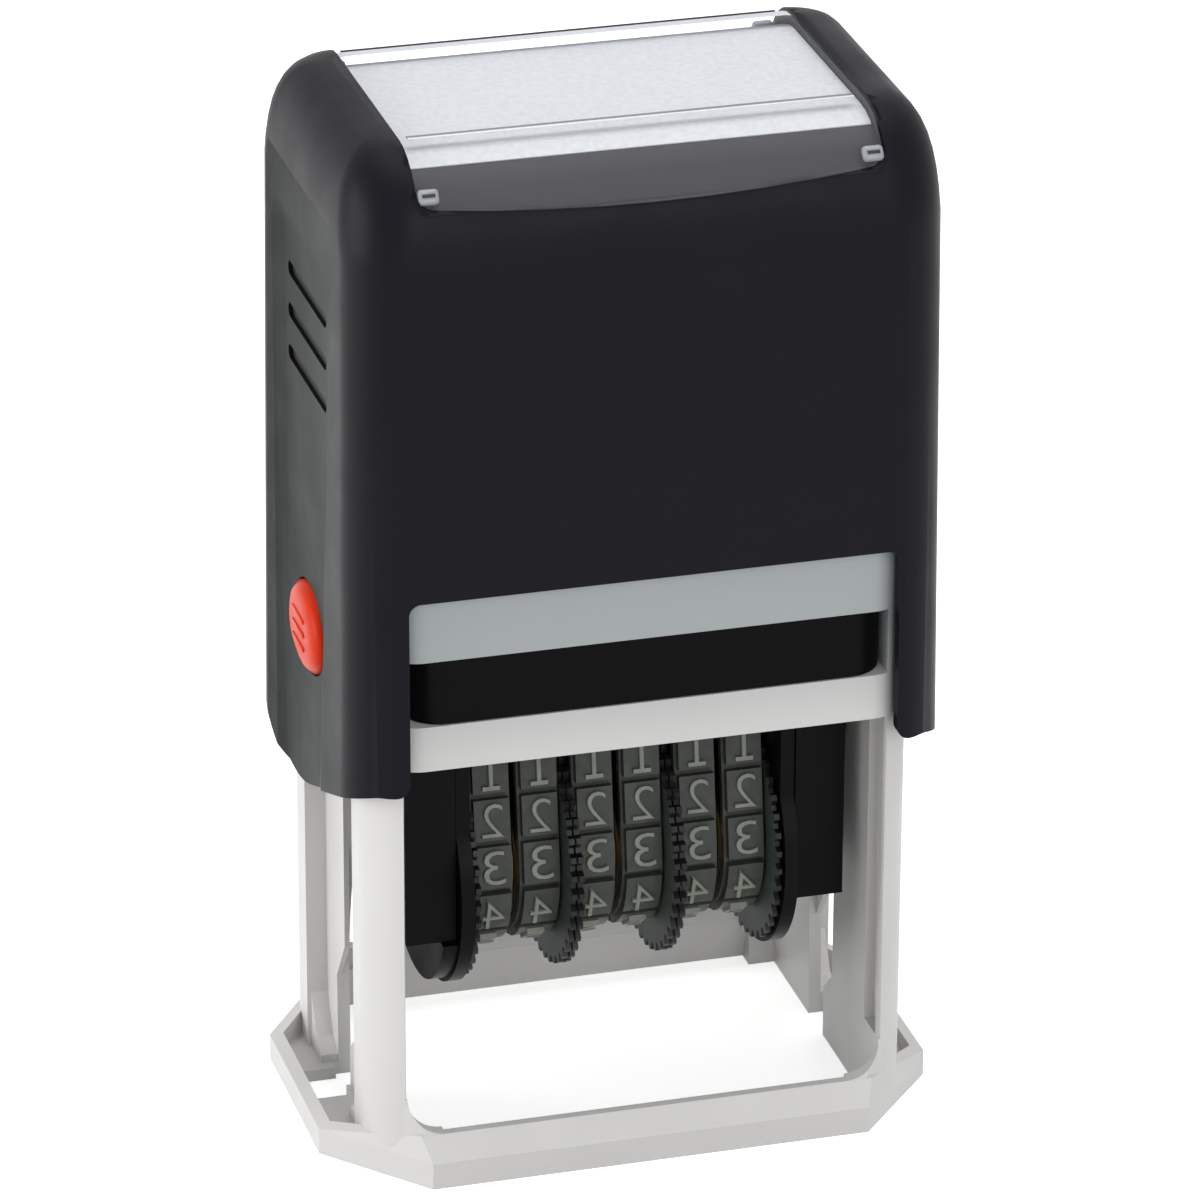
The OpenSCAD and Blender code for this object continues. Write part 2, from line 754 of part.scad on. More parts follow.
module lock_button() {
  translate([0, button_y, button_z]) {
    // domed oval cap
    hull() {
      along_x(flange_in, button_face - 0.5)
        ellipse(button_l / 2 - slide_gap, button_h / 2 - slide_gap);
      along_x(button_face - 0.5, button_face + 0.1)
        ellipse(button_l / 2 - 0.7, button_h / 2 - 0.7);
      along_x(button_face, button_face + 0.45)
        ellipse(button_l / 2 - 2, button_h / 2 - 1.8);
    }
    // collar behind the cover's wall
    along_x(flange_in, flange_in + 0.4)
      ellipse(button_l / 2 + 0.7, button_h / 2 + 0.7);
    cylinder_x(plunger_r, wall_out + 0.2, flange_in + eps);
  }
}

module lock_button_right()
  color("orangered") lock_button();

module lock_button_left()
  color("orangered") mirror([1, 0, 0]) lock_button();

// ---------------------------------------------------------------- carriage

module carriage()
  color("#222222")
    union() {
      // deck with the opening for the number works
      difference() {
        block([-plate_w / 2, -plate_d / 2, deck_z], [plate_w / 2, plate_d / 2, plate_z]);
        block([-box_in, -cheek_half - 0.3, deck_z - past], [box_in, cheek_half + 0.3, plate_z + past]);
      }
      both_sides() {
        // end box, open below and to the inside
        difference() {
          block([box_in, -box_d / 2, box_low], [box_x, box_d / 2, plate_z]);
          block([box_in - past, -box_d / 2 + carriage_wall, box_low - past],
            [box_x - carriage_wall, box_d / 2 - carriage_wall, deck_z]);
        }
        // pivot pin and turning lug
        translate([0, 0, pivot_z])
          cylinder_x(pivot_r, box_x - eps, arm_out - 0.1);
        translate([0, -lug_arm, pivot_z])
          cylinder_x(lug_r, box_x - eps, wall_in + cam_depth - 0.1);
      }
    }

band_slot_x = cheek_in + 0.25;
band_slot_y = loop_half(plate_z - pivot_z) + 0.4;
// Half width of the loop with its blocks, at a height over the pivot
function loop_half(z) =
  let (r = crown_r + band_t + block_t)
  crown_half + r * cos(loop_tilt) + (crown_z + r * sin(loop_tilt) - z) * tan(loop_tilt);

module text_plate()
  color("lightgray")
    difference() {
      block([-plate_w / 2, -plate_d / 2, plate_z], [plate_w / 2, plate_d / 2, plate_z + plate_t]);
      block([-band_slot_x, -band_slot_y, plate_z - past], [band_slot_x, band_slot_y, print_z]);
    }

// Two blank rubber strips, before and behind the number bands
module text_die()
  color("darkslategray")
    front_and_back()
      block([-plate_w / 2 + 0.5, band_slot_y + 0.2, plate_z + plate_t],
        [plate_w / 2 - 0.5, plate_d / 2 - 0.4, print_z]);

module print_bridge()
  color("dimgray")
    along_x(-cheek_in, cheek_in)
      translate([0, pivot_z])
        hull() {
          for (s = [-1, 1]) {
            translate([s * crown_half, crown_z]) circle(crown_r - 0.05, $fn = 32);
            translate([s * (crown_half - 0.6), 1.4 - wheel_drop + rim_r]) circle(0.6, $fn = 32);
          }
        }

module cheek()
  difference() {
    along_x(cheek_in, cheek_out)
      union() {
        translate([0, wheel_z]) circle(cheek_r, $fn = 96);
        translate([-cheek_half, wheel_z]) square([2 * cheek_half, plate_z - wheel_z]);
      }
    translate([0, 0, wheel_z])
      cylinder_x(wheel_axle_r + pin_gap, cheek_in - past, cheek_out + past);
  }

module cheek_right()
  color("#222222") cheek();

// The left cheek is thickened below the end box, as a guard for the first wheel
module cheek_left()
  color("#222222")
    union() {
      mirror([1, 0, 0]) cheek();
      along_x(-cheek_out - guard_t, -cheek_out + eps)
        difference() {
          translate([0, wheel_z]) circle(cheek_r - 0.4, $fn = 96);
          translate([-cheek_r - past, box_low - 0.2]) square(2 * cheek_r + 2 * past);
        }
    }

module wheel_axle()
  color("silver")
    translate([0, 0, wheel_z]) cylinder_x(wheel_axle_r, -cheek_out - 0.2, cheek_out + 0.2);

// Three washers, one between the two wheels of each pair
module spacer_washers()
  color("gold")
    for (i = [0, 2, 4])
      translate([(band_x(i) + band_x(i + 1)) / 2, 0, wheel_z])
        difference() {
          w = pair_pitch - band_w - 2 * rim_gap;
          cylinder_x(drum_r - 1, -w / 2, w / 2);
          cylinder_x(wheel_axle_r + pin_gap, -past, past);
        }

// ---------------------------------------------------------------- number wheels and bands

// Rim with square notches
module rim_outline()
  polygon([
    for (k = [0:rim_notches - 1], q = [[0, 0], [0.3, 0], [0.5, 1], [0.8, 1]])
      let (a = 360 * (k + q[0]) / rim_notches, r = rim_r - 0.7 * q[1])
      [r * cos(a), r * sin(a)]
  ]);

module number_wheel(i)
  color("darkseagreen")
    translate([band_x(i), 0, wheel_z]) mirror([rim_side(i) < 0 ? 1 : 0, 0, 0])
      difference() {
        union() {
          cylinder_x(drum_r, -band_w / 2, band_w / 2 + rim_gap + eps);
          along_x(band_w / 2 + rim_gap, rim_edge) rim_outline();
        }
        cylinder_x(wheel_axle_r + pin_gap, -band_w, band_w);
        // turned groove in the outer face of the rim
        translate([rim_edge - 0.2, 0, 0])
          difference() {
            cylinder_x(rim_r - 1.6, 0, past);
            cylinder_x(rim_r - 3, -past, 2 * past);
          }
      }

band_r = crown_r + band_t;
band_len = loop_length(band_r);
// Point on the outside of the band at any path length: [y, z, angle of the normal]
function band_at(s) =
  let (t = s - band_len * floor(s / band_len))
  t <= band_len / 2
    ? loop_point(t, band_r)
    : let (p = loop_point(band_len - t, band_r)) [-p[0], p[1], 180 - p[2]];
function band_edge(s, h) = let (p = band_at(s)) [p[0] + h * cos(p[2]), p[1] + h * sin(p[2])];
function block_edge(k, h, d) =
  [for (j = [-4:4]) band_edge(k * band_len / block_count + j * d * block_l / 8, h)];

module number_band(i)
  color("darkolivegreen")
    translate([0, 0, pivot_z]) {
      along_x(band_x(i) - band_w / 2, band_x(i) + band_w / 2)
        difference() {
          polygon(loop_outline(band_r));
          polygon(loop_outline(crown_r));
        }
      along_x(band_x(i) - band_w / 2 + 0.25, band_x(i) + band_w / 2 - 0.25)
        for (k = [0:block_count - 1])
          polygon(concat(block_edge(k, block_t, 1), block_edge(k, -0.1, -1)));
    }

module number_wheel_1() number_wheel(0);
module number_wheel_2() number_wheel(1);
module number_wheel_3() number_wheel(2);
module number_wheel_4() number_wheel(3);
module number_wheel_5() number_wheel(4);
module number_wheel_6() number_wheel(5);
module number_band_1() number_band(0);
module number_band_2() number_band(1);
module number_band_3() number_band(2);
module number_band_4() number_band(3);
module number_band_5() number_band(4);
module number_band_6() number_band(5);

base_frame();
ink_tray();
ink_felt();
cover();
bridge_yoke();
return_spring();
index_card();
index_window();
lock_button_left();
lock_button_right();
carriage();
text_plate();
text_die();
print_bridge();
cheek_left();
cheek_right();
wheel_axle();
spacer_washers();
number_wheel_1();
number_wheel_2();
number_wheel_3();
number_wheel_4();
number_wheel_5();
number_wheel_6();
number_band_1();
number_band_2();
number_band_3();
number_band_4();
number_band_5();
number_band_6();
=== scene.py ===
"""Looks of a self-inking numbering machine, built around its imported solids.

Every size is in metres in the object's own frame: the origin is the centre of the foot
on the paper, +X right, -Y front, +Z up.
"""

import math

import bmesh
import bpy
from bpy.props import FloatProperty, FloatVectorProperty, IntProperty, PointerProperty
from mathutils import Matrix, Vector


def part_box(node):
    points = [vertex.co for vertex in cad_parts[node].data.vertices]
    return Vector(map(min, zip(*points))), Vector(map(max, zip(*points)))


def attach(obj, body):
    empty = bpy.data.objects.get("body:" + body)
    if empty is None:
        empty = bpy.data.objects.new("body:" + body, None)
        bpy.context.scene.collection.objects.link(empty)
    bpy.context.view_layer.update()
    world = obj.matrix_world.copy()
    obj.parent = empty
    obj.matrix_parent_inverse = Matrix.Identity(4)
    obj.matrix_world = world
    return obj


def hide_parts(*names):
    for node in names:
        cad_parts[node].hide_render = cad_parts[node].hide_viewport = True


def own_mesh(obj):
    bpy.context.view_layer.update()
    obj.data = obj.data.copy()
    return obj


bl_info = {
    "name": "Numbering machine",
    "version": (1, 0, 0),
    "blender": (4, 5, 0),
    "location": "View3D > Sidebar > Numbering machine",
    "description": "Dresses the solids of a self-inking numbering machine",
    "category": "Object",
}

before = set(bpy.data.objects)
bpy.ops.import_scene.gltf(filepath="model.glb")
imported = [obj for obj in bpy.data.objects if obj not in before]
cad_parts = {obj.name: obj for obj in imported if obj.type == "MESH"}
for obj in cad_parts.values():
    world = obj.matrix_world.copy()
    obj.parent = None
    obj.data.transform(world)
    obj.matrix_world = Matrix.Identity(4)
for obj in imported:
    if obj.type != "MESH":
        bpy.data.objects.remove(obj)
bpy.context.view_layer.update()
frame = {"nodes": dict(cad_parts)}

MM = 0.001
SIDES = (-1, 1)
UPRIGHT = Vector((0, 0, 1))
NUMBER_WORKS = range(1, 7)
# the least share of a normal along an axis at which a face counts as looking along it
SQUARE_ON = 0.9


def tone(red, green, blue):
    """Screen colour from 0 to 255, as the linear colour that a shader takes."""
    return tuple(
        c / 12.92 if c <= 0.04045 else ((c + 0.055) / 1.055) ** 2.4
        for c in (red / 255, green / 255, blue / 255)
    )


def colour(name, description, red, green, blue):
    return FloatVectorProperty(
        name=name,
        description=description,
        subtype="COLOR",
        min=0,
        max=1,
        default=tone(red, green, blue),
    )


def length(name, description, default):
    return FloatProperty(
        name=name, description=description, default=default, unit="LENGTH", precision=5
    )


class StampColours(bpy.types.PropertyGroup):
    """Colours of the machine's finishes."""

    cover: colour("Cover", "Satin black of the cover", 18, 17, 24)
    panel: colour("Side panels", "Grey-green of the sunk side panels", 44, 46, 46)
    frame: colour("Frame", "Light grey of the frame and its foot", 207, 206, 205)
    # painted shade: the frame above the pad is drawn in this darker, cooler grey for the shade under
    # the cover
    housing: colour("Pad housing", "Cooler grey of the frame above the pad", 160, 165, 167)
    works: colour("Number works", "Black of the carriage and its cheeks", 11, 11, 12)
    pad: colour("Ink pad", "Black of the pad cartridge", 10, 10, 12)
    wheel: colour("Wheels", "Dark green-grey of the number wheels' faces", 72, 82, 77)
    rim: colour("Rims", "Black of the wheels' milled rims", 17, 18, 17)
    rubber: colour("Rubber", "Olive grey of the number bands", 56, 59, 55)
    # painted highlight: the numerals are the band's rubber, drawn much paler for the light on their
    # raised faces, with some rubbed wear
    numeral: colour("Numerals", "Worn faces of the raised numerals", 128, 131, 122)
    button: colour("Lock buttons", "Orange red of the lock buttons", 208, 50, 18)
    # painted highlight: the catches are clear plastic, drawn in an opaque pale grey for their glint
    clasp: colour("Window catches", "Clear grey of the window's snap catches", 150, 152, 160)
    window: colour("Window", "Clear plastic of the index window", 236, 237, 243)
    card: colour("Index card", "White of the index card", 221, 224, 229)
    felt: colour("Ink felt", "Dark ink in the pad's felt", 22, 24, 44)
    steel: colour("Steel", "Bare steel of the spring and the axle", 196, 197, 200)
    washer: colour("Washers", "Brass of the spacer washers", 190, 158, 92)


class StampSizes(bpy.types.PropertyGroup):
    """Sizes of the pieces that the looks add to the solids."""

    numeral_height: length("Numeral height", "Height of a raised numeral", 3.3 * MM)
    numeral_width: length("Numeral width", "Width of a raised numeral", 2.1 * MM)
    numeral_relief: length("Numeral relief", "How far a numeral stands out", 0.3 * MM)
    block_count: IntProperty(
        name="Number blocks", description="Number blocks round one band", default=16, min=12
    )
    drum_radius: length("Drum radius", "Radius of the drum below the band", 6.6 * MM)
    crown_half: length("Crown half", "Half of the flat under the printing block", 3.2 * MM)
    crown_radius: length("Crown radius", "Radius of the crown's corners", 0.7 * MM)
    band_thickness: length("Band thickness", "Thickness of a band with its blocks", 1.7 * MM)
    block_height: length("Block height", "Height of a number block on its band", 0.8 * MM)
    wheel_drop: length("Wheel drop", "Wheel axle below the carriage pivot", 12.6 * MM)
    print_reach: length("Print reach", "Print face above the carriage pivot", 9 * MM)
    pivot_height: length("Pivot height", "Carriage pivot above the paper", 37.1 * MM)
    spring_diameter: length("Spring diameter", "Mean diameter of the spring", 13 * MM)
    wire_diameter: length("Wire diameter", "Diameter of the spring's wire", 1.2 * MM)
    spring_turns: FloatProperty(
        name="Spring turns", description="Turns of the spring", default=8.5, min=4
    )
    # painted shade: between these two heights the frame darkens into the housing's grey
    tone_start: length("Tone start", "Height at which the frame starts to turn cooler", 43 * MM)
    tone_end: length("Tone end", "Height from which the frame has the housing's grey", 52 * MM)
    panel_x: length("Panel distance", "Least distance of a side panel from the middle", 26 * MM)
    panel_half: length("Panel half", "Half of a side panel's width", 13 * MM)
    panel_drop: length("Panel drop", "Side panel's top below the cover's top", 11 * MM)
    catch_x: length("Catch across", "Distance of a snap catch from the middle, across", 20.4 * MM)
    catch_y: length("Catch depth", "Distance of a snap catch from the middle, in depth", 17.2 * MM)
    catch_z: length("Catch height", "Height of the window's snap catches", 97.6 * MM)
    catch_length: length("Catch length", "Length of a snap catch across the window", 1.5 * MM)
    catch_width: length("Catch width", "Width of a snap catch of the window", 2 * MM)
    catch_height: length("Catch bulge", "Thickness of a snap catch of the window", 0.9 * MM)
    crease_y: length("Crease", "Distance of the window's crease from the middle", 10.2 * MM)
    crease_width: length("Crease width", "Width of the window's crease", 0.45 * MM)
    crease_margin: length("Crease margin", "Room left beside the window's crease", 0.8 * MM)
    pad_corner: length("Pad corner", "Radius of the pad cartridge's front corners", 3.5 * MM)
    pad_wall: length("Pad wall", "Thickness of the pad cartridge's outer wall", 1.4 * MM)
    bar_y: length("Bar place", "Distance of the rear bar's lip behind the middle", 17.5 * MM)
    bar_top: length("Bar top", "Height of the rear bar", 4.8 * MM)
    bar_rise: length("Bar rise", "Height of the rear bar's lip over the bar", 2.1 * MM)
    bar_lip: length("Bar lip", "Thickness of the rear bar's lip", 0.86 * MM)
    rib_length: length("Button rib", "Length of the ribs on a lock button", 4.2 * MM)
    rib_width: length("Rib width", "Width and height of a rib on a lock button", 0.5 * MM)
    rib_pitch: length("Rib pitch", "Distance between the ribs on a lock button", 1.4 * MM)


def sizes():
    return bpy.context.scene.stamp_sizes


def colours():
    return bpy.context.scene.stamp_colours


def need(met, message):
    """Stops the script with a message when a step can't be finished."""
    if not met:
        raise RuntimeError(message)


# ---------------------------------------------------------------- finishes


class Finish:
    """A shader with its own nodes, all in the object's coordinates."""

    def __init__(self, name):
        self.material = bpy.data.materials.new(name)
        self.material.use_nodes = True
        self.nodes = self.material.node_tree.nodes
        self.links = self.material.node_tree.links
        self.nodes.clear()
        self.output = self.nodes.new("ShaderNodeOutputMaterial")
        self.shader = self.nodes.new("ShaderNodeBsdfPrincipled")
        self.links.new(self.shader.outputs[0], self.output.inputs["Surface"])
        self.place = self.nodes.new("ShaderNodeTexCoord").outputs["Object"]

    def noise(self, scale, detail=2.0, stretch=(1, 1, 1)):
        mapping = self.nodes.new("ShaderNodeMapping")
        mapping.inputs["Scale"].default_value = stretch
        self.links.new(self.place, mapping.inputs["Vector"])
        noise = self.nodes.new("ShaderNodeTexNoise")
        noise.inputs["Scale"].default_value = scale
        noise.inputs["Detail"].default_value = detail
        self.links.new(mapping.outputs[0], noise.inputs["Vector"])
        return noise.outputs["Fac"]

    def spread(self, value, low, high, to_low, to_high):
        ramp = self.nodes.new("ShaderNodeMapRange")
        ramp.inputs["From Min"].default_value = low
        ramp.inputs["From Max"].default_value = high
        ramp.inputs["To Min"].default_value = to_low
        ramp.inputs["To Max"].default_value = to_high
        self.links.new(value, ramp.inputs["Value"])
        return ramp.outputs["Result"]

    def mix(self, factor, first, second):
        mix = self.nodes.new("ShaderNodeMix")
        mix.data_type = "RGBA"
        self.links.new(factor, mix.inputs["Factor"])
        for socket, value in ((mix.inputs[6], first), (mix.inputs[7], second)):
            if isinstance(value, bpy.types.NodeSocket):
                self.links.new(value, socket)
            else:
                socket.default_value = (*value, 1)
        return mix.outputs[2]

    def tint(self, value):
        self.tone = value
        self.links.new(value, self.shader.inputs["Base Color"])

    def along(self, axis, low, high):
        """Share from 0 to 1 along one axis of the object."""
        split = self.nodes.new("ShaderNodeSeparateXYZ")
        self.links.new(self.place, split.inputs[0])
        return self.spread(split.outputs[axis], low, high, 0, 1)

    def facing(self, axis):
        """1 on the faces that look along one axis of the object, either way."""
        split = self.nodes.new("ShaderNodeSeparateXYZ")
        self.links.new(self.place.node.outputs["Normal"], split.inputs[0])
        size = self.nodes.new("ShaderNodeMath")
        size.operation = "ABSOLUTE"
        self.links.new(split.outputs[axis], size.inputs[0])
        return self.spread(size.outputs[0], 0.8, 0.9, 0, 1)

    def relief(self, height, strength, distance):
        bump = self.nodes.new("ShaderNodeBump")
        bump.inputs["Strength"].default_value = strength
        bump.inputs["Distance"].default_value = distance
        self.links.new(height, bump.inputs["Height"])
        self.links.new(bump.outputs[0], self.shader.inputs["Normal"])

    def set(self, **sockets):
        for name, value in sockets.items():
            label = name.replace("_", " ").title().replace("Ior", "IOR")
            self.shader.inputs[label].default_value = value


def shade(rgb, share):
    return tuple(c * share for c in rgb)


def plastic(name, rgb, rough, grain=900, relief=0.12, spread=0.07, dark=0.86, **sockets):
    """Moulded plastic: fine spark grain, slow drift of tone, uneven gloss."""
    finish = Finish(name)
    drift = finish.spread(finish.noise(55, 3), 0.3, 0.7, 0, 1)
    finish.tint(finish.mix(drift, shade(rgb, dark), rgb))
    gloss = finish.spread(finish.noise(160, 4), 0.3, 0.7, rough - spread, rough + spread)
    finish.links.new(gloss, finish.shader.inputs["Roughness"])
    finish.relief(finish.noise(grain * 4, 3), relief, 0.02 * MM)
    finish.set(**sockets)
    return finish


def rubber(name, rgb, wear_and_highlight):
    """Moulded rubber with a dusty bloom and paler rubbed spots."""
    finish = Finish(name)
    rubbed = finish.spread(finish.noise(900, 4), 0.45, 0.75, 0, 1)
    # the paler colour is rubbed wear on the bands, and painted highlight with wear on the numerals
    finish.tint(finish.mix(rubbed, rgb, wear_and_highlight))
    gloss = finish.spread(finish.noise(600, 3), 0.3, 0.7, 0.42, 0.62)
    finish.links.new(gloss, finish.shader.inputs["Roughness"])
    finish.relief(finish.noise(4200, 3), 0.22, 0.03 * MM)
    finish.set(specular_ior_level=0.3)
    return finish


def metal(name, rgb, rough, stretch):
    """Drawn or turned metal with fine lines along one direction."""
    finish = Finish(name)
    lines = finish.noise(2600, 3, stretch)
    finish.tint(finish.mix(finish.spread(lines, 0.3, 0.7, 0, 1), shade(rgb, 0.8), rgb))
    finish.links.new(
        finish.spread(lines, 0.3, 0.7, rough - 0.06, rough + 0.08),
        finish.shader.inputs["Roughness"],
    )
    finish.relief(lines, 0.1, 0.01 * MM)
    finish.set(metallic=1.0)
    return finish


def fibres(name, rgb, rough, scale, relief):
    """Felt or card: matted fibres."""
    finish = Finish(name)
    mat = finish.noise(scale, 6)
    finish.tint(finish.mix(finish.spread(mat, 0.35, 0.65, 0, 1), shade(rgb, 0.88), rgb))
    finish.links.new(
        finish.spread(mat, 0.3, 0.7, rough - 0.06, rough + 0.04),
        finish.shader.inputs["Roughness"],
    )
    finish.relief(mat, relief, 0.05 * MM)
    return finish


def clear_plastic(name, clearness):
    """Clear moulded sheet with faint flow lines."""
    finish = plastic(
        name, colours().window, rough=0.12, grain=300, relief=0.04, spread=0.05, dark=0.97
    )
    finish.set(alpha=clearness)
    finish.material.surface_render_method = "BLENDED"
    return finish


def frame_plastic(name):
    """Light grey plastic of the frame."""
    return plastic(name, colours().frame, rough=0.42, grain=700, relief=0.1, dark=0.955)


def pad_plastic(name):
    """Black plastic of the pad cartridge."""
    return plastic(
        name, colours().pad, rough=0.4, grain=600, relief=0.1, specular_ior_level=0.05
    )


def wear(obj, finish):
    """Gives an object one finish."""
    obj.data.materials.clear()
    obj.data.materials.append(finish.material)


def cad(name):
    need(name in frame["nodes"], f"the packed model has no solid named {name}")
    return frame["nodes"][name]


# ---------------------------------------------------------------- pieces


def finished(name, bm, body, finish, smooth=None):
    """Turns a bmesh into an object that rides on a body, in its finish."""
    need(bm.faces, f"{name} has no faces")
    mesh = bpy.data.meshes.new(name)
    bm.to_mesh(mesh)
    bm.free()
    obj = bpy.data.objects.new(name, mesh)
    bpy.context.scene.collection.objects.link(obj)
    if smooth:
        mesh.shade_smooth()
        mesh.set_sharp_from_angle(angle=math.radians(smooth))
    wear(obj, finish)
    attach(obj, body)
    return obj


def smoothed_shell(node, body, finish, angle, thinner=0):
    """A merged, smoothly shaded copy of a faceted solid, shown in its place."""
    bm = bmesh.new()
    bm.from_mesh(cad(node).data)
    bmesh.ops.remove_doubles(bm, verts=bm.verts, dist=0.002 * MM)
    bmesh.ops.dissolve_limit(
        bm, angle_limit=math.radians(0.3), verts=bm.verts, edges=bm.edges, delimit={"NORMAL"}
    )
    if thinner:
        bm.normal_update()
        shifts = [(v, v.normal * thinner) for v in bm.verts]
        for vert, shift in shifts:
            vert.co -= shift
    obj = finished(f"{node}_shell", bm, body, finish, angle)
    kept_normals = obj.data.attributes.get("custom_normal")
    if kept_normals:
        obj.data.attributes.remove(kept_normals)
    weighted = obj.modifiers.new("even shading", "WEIGHTED_NORMAL")
    weighted.keep_sharp = True
    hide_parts(node)
    return obj


def band_path():
    """A number band's path from the middle of its crown, one half of it: the height of the
    crown's bends over the pivot, how much larger the drum is than a bend, the slant of the
    straight side, and the lengths of the bend, the side and the stretch on the drum."""
    z = sizes()
    wider = z.drum_radius - z.crown_radius
    crown_z = z.print_reach - z.band_thickness - z.crown_radius
    rise = crown_z + z.wheel_drop
    distance = math.hypot(z.crown_half, rise)
    tilt = math.atan2(rise, z.crown_half) - math.acos(wider / distance)
    bend_radius = z.crown_radius + z.band_thickness - z.block_height
    bend = bend_radius * (math.pi / 2 - tilt)
    side = math.sqrt(distance**2 - wider**2)
    drum = (wider + bend_radius) * (math.pi / 2 + tilt)
    return crown_z, wider, tilt, bend, side, drum


def band_place(s):
    """Point on a number band's blocks at path length s from the printing block, and the
    angle of its outward direction over the horizontal."""
    z = sizes()
    crown_z, wider, tilt, bend, side, drum = band_path()
    out = z.crown_radius + z.band_thickness
    past_crown = s - z.crown_half
    past_bend = past_crown - bend
    past_side = past_bend - side
    if past_crown < 0:
        return s, crown_z + out, math.pi / 2
    if past_bend < 0:
        angle = math.pi / 2 - past_crown / bend * (math.pi / 2 - tilt)
        return z.crown_half + out * math.cos(angle), crown_z + out * math.sin(angle), angle
    if past_side < 0:
        return (
            z.crown_half + out * math.cos(tilt) + past_bend * math.sin(tilt),
            crown_z + out * math.sin(tilt) - past_bend * math.cos(tilt),
            tilt,
        )
    angle = tilt - past_side / drum * (math.pi / 2 + tilt)
    reach = wider + out
    return reach * math.cos(angle), -z.wheel_drop + reach * math.sin(angle), angle


def band_length():
    crown_z, wider, tilt, bend, side, drum = band_path()
    return 2 * (sizes().crown_half + bend + side + drum)


def numeral_mesh(digit):
    """A raised numeral in the XY plane, mirrored as a stamp needs it, centred."""
    z = sizes()
    curve = bpy.data.curves.new(f"numeral {digit}", "FONT")
    curve.body = str(digit)
    # shares of the type size; the offset thins the strokes
    curve.size = 1
    curve.extrude = 0.06
    curve.bevel_depth = 0.01
    curve.offset = -0.018
    curve.resolution_u = 3
    curve.bevel_resolution = 0
    text = bpy.data.objects.new(curve.name, curve)
    bpy.context.scene.collection.objects.link(text)
    bpy.context.view_layer.update()
    graph = bpy.context.evaluated_depsgraph_get()
    mesh = bpy.data.meshes.new_from_object(text.evaluated_get(graph))
    bpy.data.objects.remove(text)
    bpy.data.curves.remove(curve)
    bm = bmesh.new()
    bm.from_mesh(mesh)
    bpy.data.meshes.remove(mesh)
    need(bm.verts, f"numeral {digit} came out empty")
    low = Vector([min(v.co[k] for v in bm.verts) for k in range(3)])
    high = Vector([max(v.co[k] for v in bm.verts) for k in range(3)])
    middle = (low + high) / 2
    bmesh.ops.translate(bm, verts=bm.verts, vec=-middle)
    tall = z.numeral_height / (high.y - low.y)
    deep = 2 * z.numeral_relief / (high.z - low.z)
    most_widened = 1.35 * tall
    across = min(z.numeral_width / (high.x - low.x), most_widened)
    if digit == 1:
        across *= 0.75
    bmesh.ops.scale(bm, verts=bm.verts, vec=(-across, tall, deep))
    if digit == 1:
        foot_height = 0.4 * MM
        foot = bmesh.ops.create_cube(bm, size=1)["verts"]
        bmesh.ops.scale(
            bm, verts=foot, vec=(0.8 * z.numeral_width, foot_height, 1.9 * z.numeral_relief)
        )
        bmesh.ops.translate(bm, verts=foot, vec=(0, (foot_height - z.numeral_height) / 2, 0))
    bmesh.ops.remove_doubles(bm, verts=bm.verts, dist=0.001 * MM)
    bmesh.ops.recalc_face_normals(bm, faces=bm.faces)
    mesh = bpy.data.meshes.new(f"numeral {digit}")
    bm.to_mesh(mesh)
    bm.free()
    return mesh


# ---------------------------------------------------------------- steps


class STAMP_OT_finish_solids(bpy.types.Operator):
    """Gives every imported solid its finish"""

    bl_idname = "stamp.finish_solids"
    bl_label = "Finish the solids"

    def execute(self, context):
        c = colours()
        frame_finish = frame_plastic("light grey ABS")
        # painted shade: the frame turns darker and cooler towards the top, for the shade under the
        # cover
        shaded_top = frame_finish.along("Z", sizes().tone_start, sizes().tone_end)
        frame_finish.tint(frame_finish.mix(shaded_top, frame_finish.tone, c.housing))
        works = plastic(
            "black works plastic",
            c.works,
            rough=0.42,
            grain=800,
            relief=0.15,
            specular_ior_level=0.06,
        )
        pad = pad_plastic("black pad plastic")
        band = rubber("number band rubber", c.rubber, shade(c.rubber, 1.35))
        wheel = plastic(
            "green-grey wheel plastic",
            c.wheel,
            rough=0.45,
            grain=700,
            relief=0.12,
            specular_ior_level=0.25,
        )
        wheel.tint(wheel.mix(wheel.facing("X"), c.rim, wheel.tone))
        steel = metal("drawn steel", c.steel, 0.28, (0.1, 1, 1))
        dressed = {
            "base_frame": frame_finish,
            "ink_tray": pad,
            "ink_felt": fibres("inked felt", c.felt, 0.85, 2400, 0.6),
            "bridge_yoke": works,
            "carriage": works,
            "text_plate": plastic("grey plate plastic", shade(c.frame, 0.7), 0.4),
            "text_die": rubber("blank die rubber", shade(c.rubber, 0.7), c.rubber),
            "print_bridge": works,
            "cheek_left": works,
            "cheek_right": works,
            "wheel_axle": steel,
            "spacer_washers": metal("washer brass", c.washer, 0.3, (1, 1, 1)),
            "index_card": fibres("index card", c.card, 0.6, 1800, 0.08),
            "return_spring": steel,
        }
        for i in NUMBER_WORKS:
            dressed[f"number_band_{i}"] = band
            dressed[f"number_wheel_{i}"] = wheel
        for name, finish in dressed.items():
            wear(cad(name), finish)
        return {"FINISHED"}


